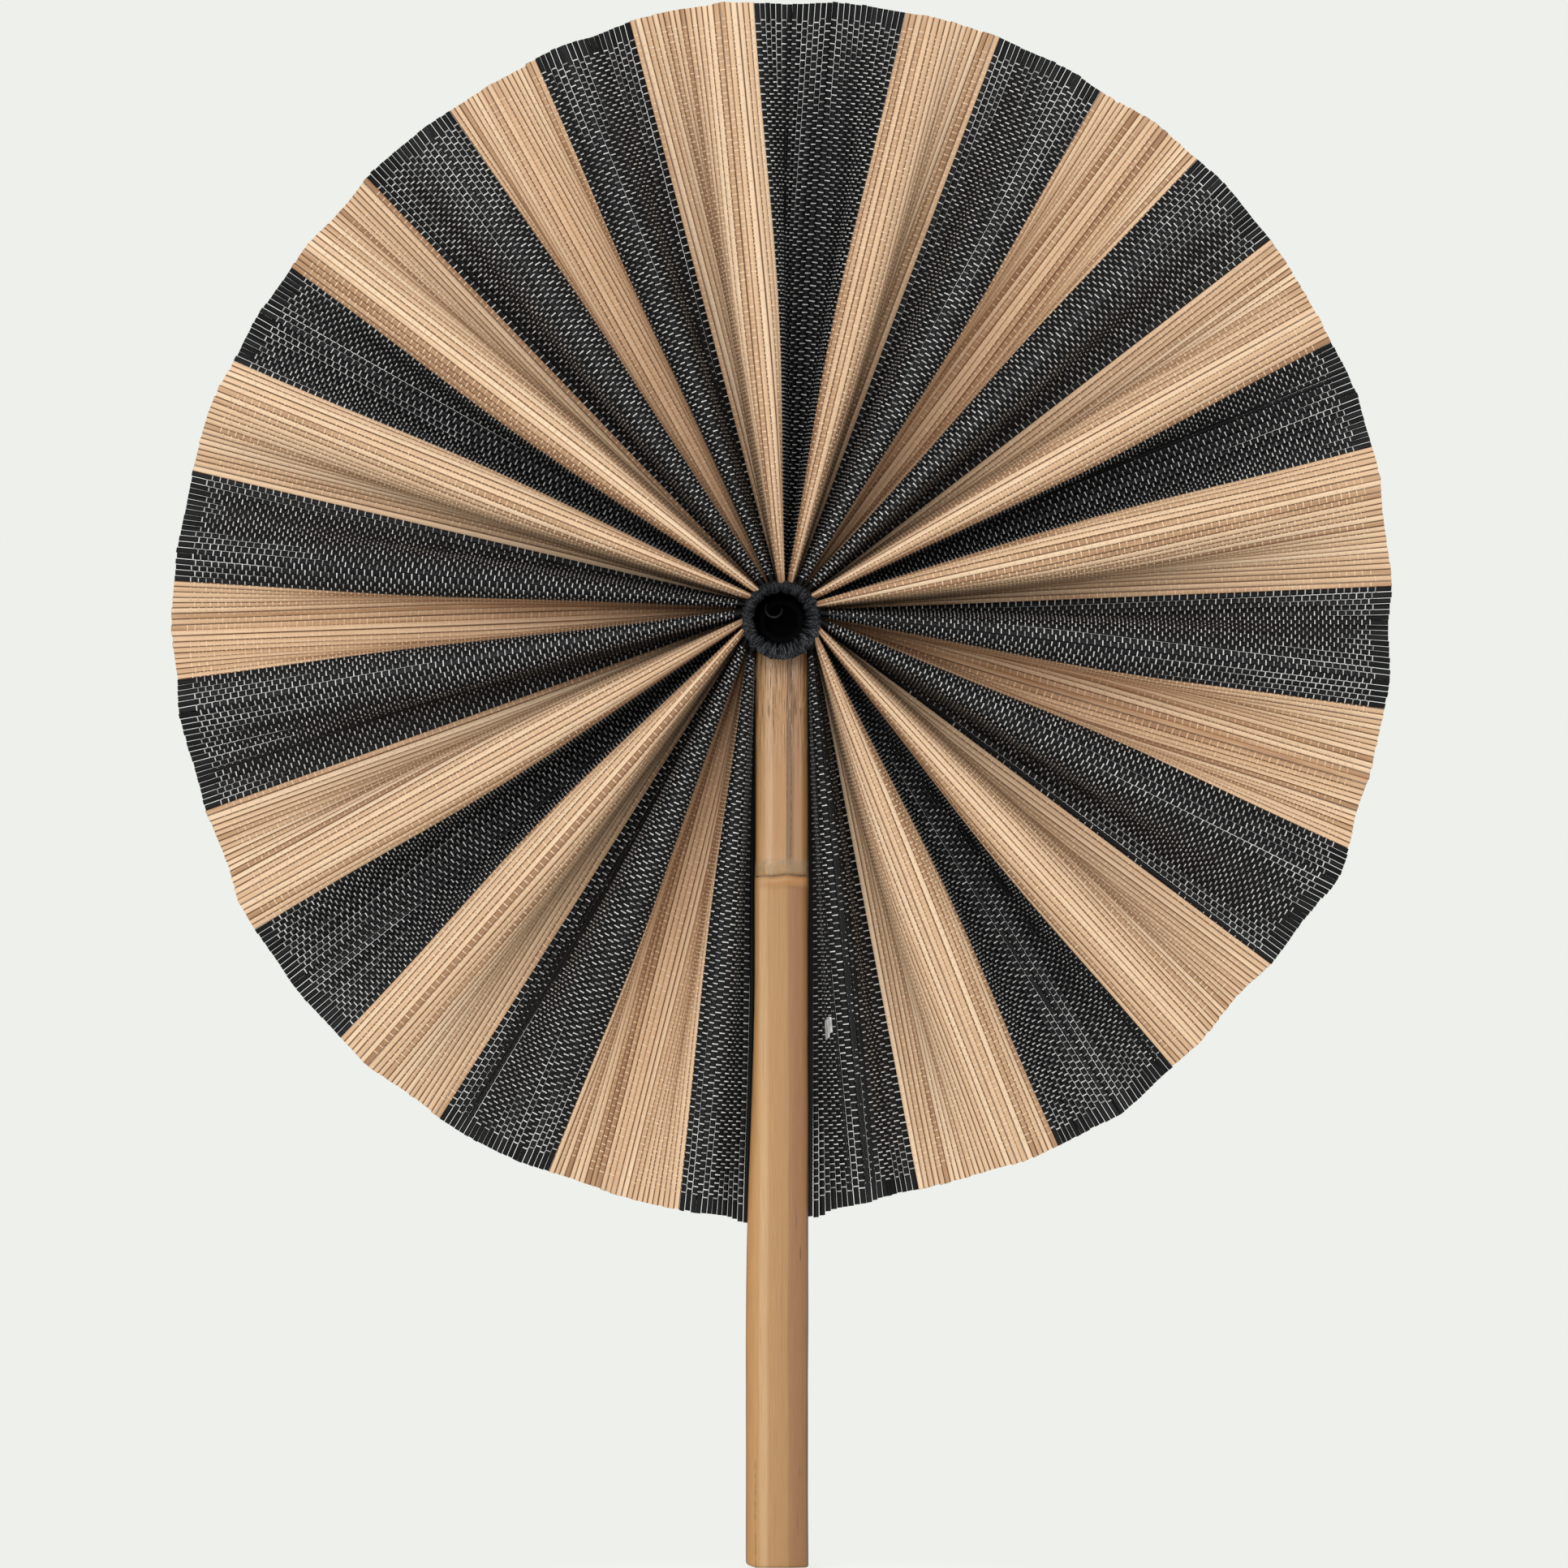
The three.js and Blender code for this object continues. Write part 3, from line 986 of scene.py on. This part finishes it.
def thread_shapes(panel, sticks, is_black, edges, length, end):
    """The stitches of one panel: rows of thread that pass over one stick and under the next, row by row.

    A stitch is a small tapered block that hugs its stick, from the gap on one side to that on the other.
    """
    rows = np.arange(int((length.max() + thread_rows_margin) / thread_row_pitch))
    distance = thread_rows_start + thread_row_pitch * rows + np.zeros((len(sticks), 1))
    distance = distance + random.normal(0, thread_jitter, distance.shape)
    points, over, front, half_chord = stick_frames(panel, distance / length[:, None], edges)
    inside = distance < (end * length)[:, None] - thread_rows_end
    inside &= ((sticks > 0) & (sticks < stick_total - 1))[:, None]
    side = np.where((sticks[:, None] + rows) % 2 == 0, 1.0, -1.0)[..., None]
    along = np.cross(front, over) * thread_half_width
    over = side * over * half_chord[..., None]
    base = points + side * front * stitch_base_level
    top = points + side * front * (stick_half_depth + thread_height)
    centres = np.stack([base, top], -2)
    wide = np.stack([over * stitch_base_reach, over * stitch_top_reach], -2)
    high = np.stack([along, along * stitch_top_width], -2)
    shapes = []
    for black, finish in enumerate(thread_finishes):
        chosen = inside & (is_black == bool(black))[:, None]
        if not chosen.any():
            continue
        blocks = tubes(centres[chosen], wide[chosen], high[chosen], square_outline)
        # Painted shade: stitches on a fold's walls are darkened too
        tone = random.random(len(blocks)) * (1 - painted_wall_shade * painted_wall_share(front[chosen]))
        shapes.append(small_tubes(blocks, tone, thread_band, finish))
    return shapes


def worn_shapes(panel, edges, length):
    """A worn patch: pale fibre that stands a little proud of the stained sticks and tapers at its ends.

    It is the stick's outline carried along a stretch of each stick, and it narrows by a high power of the
    distance from the stretch's middle.
    """
    walk = np.linspace(0, 1, worn_steps)
    taper = 1 - worn_taper * np.abs(2 * walk - 1) ** worn_taper_power
    shapes = []
    for from_end, start, end in worn_stretches:
        share = lerp(start, end, walk) / length[:, None]
        points, over, front, half_chord = [form[-from_end] for form in stick_frames(panel, share, edges)]
        wide = over * (half_chord * taper)[:, None]
        high = -front * (worn_height * taper)[:, None]
        rings = tubes(points[None], wide[None], high[None], stick_outline)
        tone = worn_tone + worn_mottle * np.sin(worn_mottle_turn * walk + from_end)
        patch = small_tubes(rings, np.array([tone.mean()]), thread_band, thread_finishes[1])
        patch.tone = np.repeat(tone, len(stick_outline))
        shapes.append(patch)
    return shapes


def closing_axis(panel):
    """The direction across a panel's middle line, which lies along the row of panels in the closed fan."""
    near, far = cell_ends(panel, np.array([0.0, 1.0]))
    inner, outer = (near + far) / 2
    along = unit(outer - inner)
    return np.array([along[1], 0, -along[0]])


def make_panel(panel, finishes):
    """One panel of the mat, between two folds."""
    name = f"pleat_{panel:02d}"
    first = sticks_before((panel - 1) * stripes_per_panel)
    last = sticks_before(panel * stripes_per_panel)
    sticks = np.arange(first, last)
    is_black = np.searchsorted(np.cumsum(stripe_sticks), sticks, side="right") % 2 == 0
    shapes, edges, length, end = stick_shapes(panel, sticks, is_black)
    shapes += thread_shapes(panel, sticks, is_black, edges, length, end)
    if panel == panel_count:
        shapes += worn_shapes(panel, edges, length)
    piece = make_piece(f"mat_{name}", shapes, finishes, name)
    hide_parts(name)
    near, far = cell_ends(panel, 0.5)
    axis = closing_axis(panel)
    keep = closed_fill * closed_pitch / cell_width(panel, 1)
    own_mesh(piece)


# Hub


def ring_points(angle, radius, depth):
    """Points at angles about the hub, at radii from its axis and at depths along it."""
    flat = around(angle, radius)
    return np.stack([flat[..., 0], depth + np.zeros(flat.shape[:-1]), flat[..., 1]], -1)


def gather(angle, turn):
    """How far the gathered tape swells, by its angle about the hub and the turn round its section.

    It is a sum of waves round the hub, and the tape is thicker at the lower right of the hole.
    """
    inside = np.clip(-np.sin(turn), 0, 1)
    swell = gather_level + lip_height * inside * np.cos(angle + lip_angle)
    for count, turns, phase, height in gather_waves:
        swell = swell + height * np.sin(count * angle + turns * turn + phase)
    return swell


def tape_point(bend, swell):
    """Radius and depth on the ring's front cap, from its outer side at bend 0 to its bore at half a turn.

    The cap is a quarter of an ellipse outside the crest and a longer quarter inside it.
    """
    outside = np.cos(bend) > 0
    width = np.where(outside, binding_radius - tape_crest, tape_crest - tape_bore)
    height = np.where(outside, tape_shoulder, tape_funnel)
    radius = tape_crest + (width + swell) * np.cos(bend)
    return radius, -(binding_half_depth - height) - (height + swell) * np.sin(bend)


def tape_shape(start, end, low, high, collar):
    """A stretch of the gathered tape between two angles, carried round the hub.

    Its section goes over the front cap and back over the same cap turned round, then along a collar
    outside. It is cut off below depth low and above depth high.
    """
    angle = np.linspace(start, end, max(int(math.degrees(end - start) / tape_step), 4))[:, None]
    bend = np.pi * (np.arange(cap_steps) + 0.5) / cap_steps
    front_radius, front_depth = tape_point(bend, gather(angle, bend + np.pi / 2))
    back_radius, back_depth = tape_point(bend[::-1], gather(angle, bend + 3 * np.pi / 2))
    outside = np.tile([collar_half_depth, -collar_half_depth], (len(angle), 1))
    radius = np.concatenate([front_radius, back_radius, np.full(outside.shape, collar)], axis=1)
    depth = np.clip(np.concatenate([front_depth, -back_depth, outside], axis=1), low, high)
    points = ring_points(angle, radius, depth)
    grain = np.stack([angle * tape_crest + np.zeros(depth.shape), depth, radius], -1)
    return one_tube(points, grain, *tape_band)


def fibre_shape(start, end, face, count):
    """Loose fibres brushed over the tape's rounded face: thin spindles, front with face -1, back with 1.

    Each follows the bend of the tape's section, drifts round the hub and lifts off by part of a sine wave.
    Its thickness is most of half a sine wave along it.
    """
    walk = np.linspace(0, 1, fibre_steps)
    first = random.uniform(*fibre_starts, count)
    bend = first[:, None] + random.uniform(*fibre_runs, count)[:, None] * walk
    angle = random.uniform(start, end, count)[:, None]
    angle = angle + random.normal(0, fibre_drift, count)[:, None] * walk
    angle = angle + random.normal(0, fibre_wander, (count, fibre_steps))
    lift = fibre_lift + random.uniform(0.0, fibre_arch, count)[:, None] * np.sin(fibre_arch_turn * walk)
    radius, depth = tape_point(bend, lift + gather(angle, bend + np.pi / 2))
    centres = ring_points(angle, radius, -face * depth)
    along = unit(np.gradient(centres, axis=1))
    sideways = ring_points(angle + np.pi / 2, 1.0, 0.0)
    upward = np.cross(along, sideways)
    sideways = np.cross(upward, along)
    spindle = np.sin(np.pi * lerp(*fibre_ends, walk))
    thick = (random.uniform(*fibre_thickness, count)[:, None] * spindle)[..., None]
    points = tubes(centres, sideways * thick, upward * thick, square_outline)
    # Painted light: fibres towards the bottom of the ring are lighter, as if lit from above
    painted_light_share = (1 + np.cos(angle[:, 0])) / 2
    tone = np.clip(random.random(count) ** 2 * lerp(*fibre_painted_light, painted_light_share), 0, 1)
    return small_tubes(points, tone, fibre_band, 1)


def make_tape(name, start, end, low, high, finishes, body):
    """One stretch of the hub's binding, with its loose fibres."""
    collar = tape_collar if body.startswith("pleat") else binding_radius
    shapes = [tape_shape(start, end, low, high, collar)]
    count = int(math.degrees(end - start) * fibres_per_degree)
    if low < 0:
        shapes.append(fibre_shape(start, end, -1, count))
    if high > 0:
        shapes.append(fibre_shape(start, end, 1, count))
    return make_piece(name, shapes, finishes, body)


def piece_span(piece, axis):
    """A piece's extent along a direction, in millimetres."""
    points = np.empty(3 * len(piece.data.vertices))
    piece.data.vertices.foreach_get("co", points)
    return np.ptp(points.reshape(-1, 3) @ axis) / MM


def make_binding(finishes):
    """The binding, split where the fan opens: a stretch for every three panels, and one on each slat."""
    far = binding_half_depth + 1
    for first in range(0, panel_count, panels_per_tape):
        start = hub_angle(first)
        end = hub_angle(first + panels_per_tape)
        panel = f"pleat_{first + 2:02d}"
        name = f"binding_{first // panels_per_tape + 1:02d}"
        tape = make_tape(name, start, end, -far, far, finishes, panel)
        axis = closing_axis(first + 2)
        keep = min(panels_per_tape * closed_pitch / piece_span(tape, axis), 1.0)
        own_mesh(tape)
    start = hub_angle(panel_count) - 2 * math.pi
    end = hub_angle(0)
    front = make_tape("binding_front_end", start, end, -far, 0.0, finishes, "front_slat")
    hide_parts("hub_binding")
    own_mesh(front)
    back = make_tape("binding_back_end", start, end, 0.0, far, finishes, "back_slat")
    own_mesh(back)


def make_bottom(finish):
    """The cloth that closes the hole: a thin crumpled disc, deepest at the hub's axis.

    Its depth falls evenly outwards, with a cosine ripple that grows and turns with the radius. Its rings go
    out along its front and back in along its back.
    """
    reach = tape_bore + bottom_margin
    outward = np.linspace(bottom_middle, 1, bottom_rings)
    outward = np.concatenate([outward, outward[::-1]])[:, None]
    face = np.repeat([-1, 1], bottom_rings)[:, None]
    angle = np.linspace(0, 2 * np.pi, crumple_steps * bottom_crumples, endpoint=False)
    crumple = bottom_crumple * outward * np.cos(bottom_crumples * angle + crumple_turn * outward)
    depth = bottom_depth - bottom_dish * outward + crumple + face * bottom_half_thickness
    points = ring_points(angle, reach * outward, depth)
    # The grain's radius is left at 0, so the felt's painted shade darkens the disc to near black
    grain = np.zeros(points.shape)
    grain[..., 0] = angle * tape_crest
    grain[..., 1] = reach * outward
    disc = one_tube(points, grain, *whole_band)
    bottom = make_piece("binding_bottom", [disc], [finish], "pleat_22")
    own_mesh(bottom)


def cord_shape(path, radius, tone, low, high):
    """A cord of two plies along a path, in the flat map's band from low to high.

    Its radius swells twice round its section, as a cosine wave that turns along the path.
    """
    along = unit(np.gradient(path, axis=0))
    sideways = unit(np.cross(along, np.array([0.0, 1.0, 0.0])))
    upward = np.cross(along, sideways)
    lay = np.linspace(0, 2 * np.pi, cord_sides, endpoint=False)
    twist = np.linspace(0, 1, len(path))[:, None] * len(path) * ply_twist
    plies = 1 + ply_height * np.cos(2 * lay + twist)
    spoke = np.cos(lay)[:, None] * sideways[:, None] + np.sin(lay)[:, None] * upward[:, None]
    points = path[:, None] + radius * plies[..., None] * spoke
    return one_tube(points, np.zeros(points.shape), low, high, tone)


def make_cord(finish):
    """The cord that gathers the binding: once round inside the ring, with its end curled in the hole.

    The turn round the ring is a helix that comes forward by one diameter. The curl is an arc that tightens,
    and its depth is a parabola, deepest at its two ends.
    """
    turn = np.linspace(0, 1, cord_ring_steps)
    ring_angle = lerp(cord_start, cord_start + 2 * math.pi, turn)
    ring = ring_points(ring_angle, cord_ring_radius, lerp(cord_radius, -cord_radius, turn))
    curl_turn = np.linspace(0, 1, curl_steps)
    curl_angle = lerp(*curl_turns, curl_turn)
    curl_radius = lerp(*curl_radii, curl_turn)
    curl = np.stack([
        curl_x + curl_radius * np.cos(curl_angle),
        curl_depth + curl_bow * (2 * curl_turn - 1) ** 2,
        curl_z + curl_radius * np.sin(curl_angle),
    ], -1)
    shapes = [
        cord_shape(ring, cord_radius, cord_tone, *cord_band),
        cord_shape(curl, curl_thickness, curl_tone, *curl_band),
    ]
    cord = make_piece("cord_gather", shapes, [finish], "front_slat")
    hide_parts("gathering_cord")
    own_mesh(cord)


# Handle


def slat_half_width(drop):
    """Half the slat's width: it is even from the hub to below the node, and then widens by a smooth step."""
    return lerp(slat_top_width, slat_width, smooth_step(flare_start, flare_end, drop)) / 2


def slat_shape(number, turned):
    """Half of a split culm: flat inside, and outside a rounded face on a thin edge.

    Across the slat the face is half of a superellipse, with cosine flutes along it and bell curves down it
    for the node. Its sections run down from the hub ring, whose round they follow at the top, to the lower
    end, where the edge is worn round by a quarter of an ellipse. Its right edge is straight, and its left
    edge flares to a chipped corner.
    """
    drop = np.concatenate([
        np.linspace(mat_inner_radius - slat_top_reach, node_drop - node_reach - section_gap, upper_sections),
        node_drop + np.linspace(-node_reach, node_reach, node_sections),
        np.linspace(node_drop + node_reach + section_gap, handle_drop - lower_margin, lower_sections),
        handle_drop - end_heights,
    ])[:, None]
    turn = np.linspace(0, np.pi, slat_steps + 1)
    into_end = np.clip((drop - handle_drop) / end_round + 1, 0, 1)
    worn = end_wear * (1 - np.sqrt(1 - into_end**2))
    wobble = waves(drop, [(0.045, 2 * number, 0.072), (0.13, number, 0.036)])
    x = (slat_half_width(drop) - worn) * np.cos(turn) + wobble

    # The rounded face, with flutes along it and a node that wavers across it
    crown = (1 - np.abs(np.cos(turn)) ** slat_roundness) ** (1 / slat_roundness)
    flutes = flute_height * np.cos(flute_count * turn + flute_drift * drop)
    flutes = flutes + fine_flute_height * np.cos(fine_flute_count * turn + fine_flute_phase)
    wavy_drop = drop + waves(np.cos(turn), node_waves)
    relief = lerp(edge_relief, 1, np.clip(relief_slope * np.sin(turn), 0, 1))
    proud = lerp(slat_edge, slat_depth, crown) + (bells(wavy_drop - node_drop, node_swells) + flutes) * relief
    hollow = mat_inner_radius - np.sqrt(mat_inner_radius**2 - np.clip(np.abs(x), 0, hollow_reach) ** 2)
    fade = 1 - smooth_step(mat_inner_radius, mat_inner_radius + hollow_fade, drop)
    z = -drop + hollow * fade
    round_face = np.stack([x, -fit_gap / 2 - np.maximum(proud - worn, slat_least), z], -1)
    flat_face = np.stack([x, -slat_seam - worn / 2 + np.zeros(x.shape), z], -1)[:, ::-1]
    points = np.concatenate([round_face, flat_face], axis=1)

    spread = np.where(drop < node_drop, 1, slat_half_width(drop) / (slat_width / 2))
    across = 1 - (1 - np.cos(turn)) * spread
    grain = np.stack([across, wavy_drop, np.full(across.shape, slat_grain_step * number)], -1)
    grain = np.concatenate([grain, grain[:, ::-1]], axis=1)
    if turned:
        points = points * np.array([-1, -1, 1])
    points[..., 0] += slat_top_width / 2 - slat_half_width(drop)
    from_left = points[..., 0] - slat_top_width / 2 + slat_width
    corner = np.clip(1 - from_left / chip_width, 0, 1)
    points[..., 2] += chip_height * corner * smooth_step(handle_drop - chip_run, handle_drop, drop)
    return one_tube(points, grain, *whole_band)


def make_slats(finish):
    """The handle's two halves. The back one is the front one turned half round the handle's own line."""
    for number, name in enumerate(("front_slat", "back_slat")):
        slat = make_piece(f"bamboo_{name}", [slat_shape(number, number == 1)], [finish], name)
        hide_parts(name)


# Studio


def make_world():
    """The pale backdrop for what is seen directly or mirrored, and a dimmer even light for the object."""
    world = bpy.data.worlds.new("studio")
    bpy.context.scene.world = world
    world.use_nodes = True
    nodes = Nodes(world.node_tree)
    ambient = world.node_tree.nodes["Background"]
    ambient.inputs["Color"].default_value = (1, 1, 1, 1)
    ambient.inputs["Strength"].default_value = ambient_strength
    seen = nodes.add("Background", {"Color": backdrop})
    path = nodes.add("LightPath", {}).outputs
    mirrored = nodes.combine(path["Is Glossy Ray"], path["Is Transmission Ray"], "MAXIMUM")
    direct = nodes.combine(path["Is Camera Ray"], mirrored, "MAXIMUM")
    nodes.show(direct, ambient.outputs[0], seen.outputs[0], "World Output")


def make_floor():
    """A pale round floor just below the handle, which fades into the backdrop."""
    angle = np.linspace(0, 2 * np.pi, floor_sides, endpoint=False)
    level = np.full(floor_sides, cad_box[0].z - floor_gap)
    points = np.stack([floor_radius * np.cos(angle), floor_radius * np.sin(angle), level], -1)
    mesh = bpy.data.meshes.new("floor")
    mesh.from_pydata(points.tolist(), [], [list(range(floor_sides))])
    finish = Finish("pale_floor", {"Roughness": 0.9, "Specular IOR Level": 0.1})
    finish.colour(floor_colour)
    distance = finish.add("VectorMath", {0: finish.add("TexCoord", {}).outputs["Object"]})
    distance.operation = "LENGTH"
    fade = finish.scale(distance.outputs["Value"], *floor_fade, floor_glow, 1)
    seen = finish.times(fade, finish.add("LightPath", {}).outputs["Is Camera Ray"])
    glow = finish.add("Emission", {"Color": backdrop})
    finish.show(seen, finish.shader.outputs["BSDF"], glow.outputs[0], "Material Output")
    mesh.materials.append(finish.material)
    floor = add_object("floor", mesh)


def make_lamp(name, place, size, power):
    """A soft square lamp aimed at the hub."""
    lamp = bpy.data.lights.new(name, "AREA")
    lamp.size = size
    lamp.energy = power
    holder = add_object(name, lamp)
    holder.location = place
    aim = holder.location - hub_middle
    holder.rotation_mode = "QUATERNION"
    holder.rotation_quaternion = aim.to_track_quat("Z", "Y")
    holder.visible_camera = False


def make_camera():
    """A camera straight in front, whose lens takes in the photograph's frame at the fan."""
    camera = bpy.data.cameras.new("camera")
    camera.sensor_width = sensor_width
    camera.lens = sensor_width * camera_distance / frame_width
    camera.clip_end = camera_reach
    holder = add_object("camera", camera)
    holder.location = (camera_x, -camera_distance, camera_z)
    holder.rotation_euler = (math.pi / 2, 0, 0)
    bpy.context.scene.camera = holder


bpy.context.scene.view_settings.view_transform = "Standard"
make_camera()
make_world()
make_floor()
for lamp_settings in lamps:
    make_lamp(*lamp_settings)

# Each stick finish's third value is the painted shade of the gaps between sticks
mat_finishes = [
    stick_finish("natural_bamboo_sticks", natural_tones, (0.15, 0.075, 0.035), 0.8, 0.35),
    stick_finish("black_stained_sticks", black_tones, (0.003, 0.003, 0.0034), 0.7, 0.12),
    strand_finish("cream_thread", (0.56, 0.40, 0.26), (0.72, 0.55, 0.38), 0.85, 0.25),
    strand_finish("white_thread", (0.22, 0.22, 0.216), (0.60, 0.60, 0.585), 0.85, 0.25),
]
for panel_number in range(1, panel_count + 1):
    make_panel(panel_number, mat_finishes)
binding_finishes = [
    felt_finish(),
    strand_finish("felt_fibres", (0.004, 0.0046, 0.0055), (0.13, 0.136, 0.146), 0.9, 0.1),
]
make_binding(binding_finishes)
make_bottom(binding_finishes[0])
make_cord(strand_finish("black_cord", (0.0012, 0.0014, 0.0017), (0.05, 0.052, 0.055), 0.9, 0.1))
make_slats(bamboo_finish())
